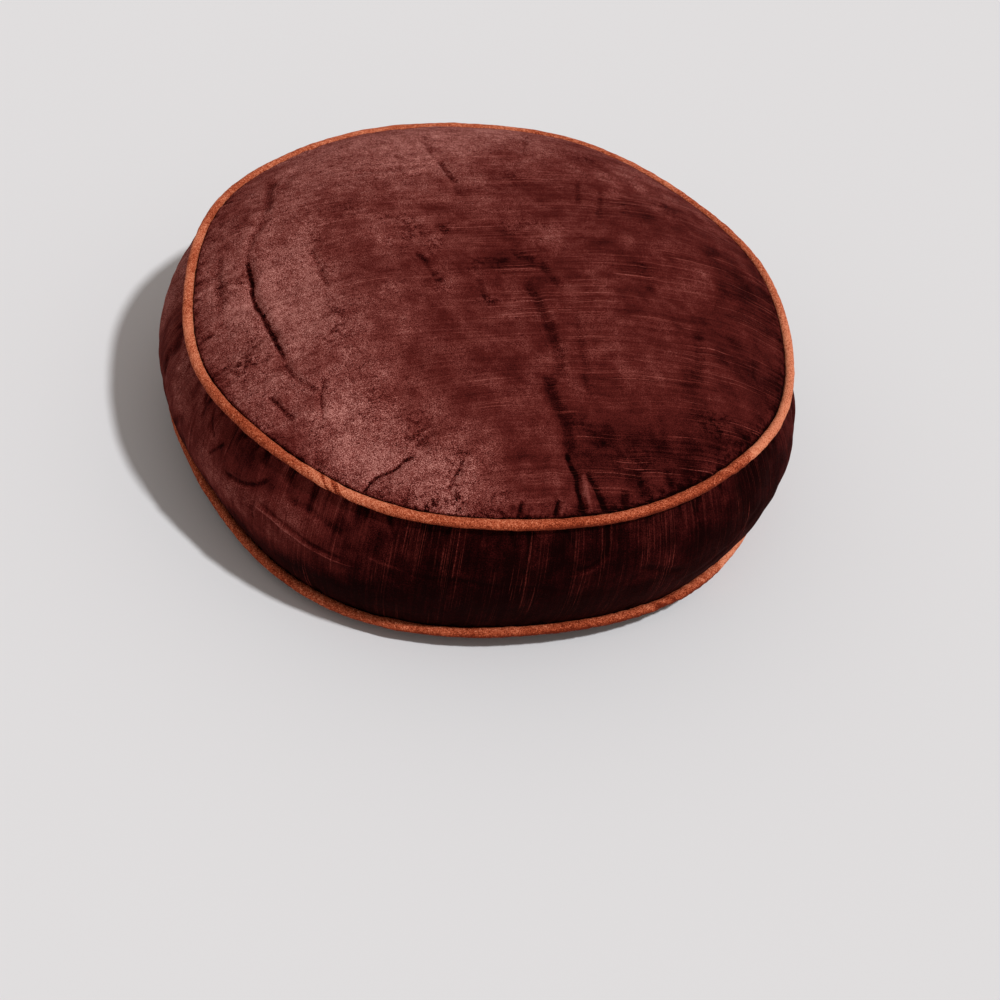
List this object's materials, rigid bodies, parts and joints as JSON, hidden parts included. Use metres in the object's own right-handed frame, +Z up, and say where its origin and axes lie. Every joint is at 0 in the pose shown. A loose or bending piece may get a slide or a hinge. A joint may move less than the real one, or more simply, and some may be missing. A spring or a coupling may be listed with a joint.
{
  "type": "round box cushion",
  "caption": "Round filled box cushion in crushed velvet with a crowned face, a bulging side band and contrast piping around both seams.",
  "frame": {"origin": "middle of the cushion's outline, on the surface that it rests on", "axes": "+Z up out of the crowned face, +X to the right and -Y towards the viewer as in the picture"},
  "size_m": [0.4232, 0.4222, 0.1532],
  "materials": {
    "velvet_burgundy": "crushed velvet with fine slubs",
    "velvet_rust": "bias-cut velvet piping"
  },
  "bodies": {
    "root": {"cushion": "velvet_burgundy", "piping_top": "velvet_rust", "piping_bottom": "velvet_rust"}
  },
  "joints": []
}
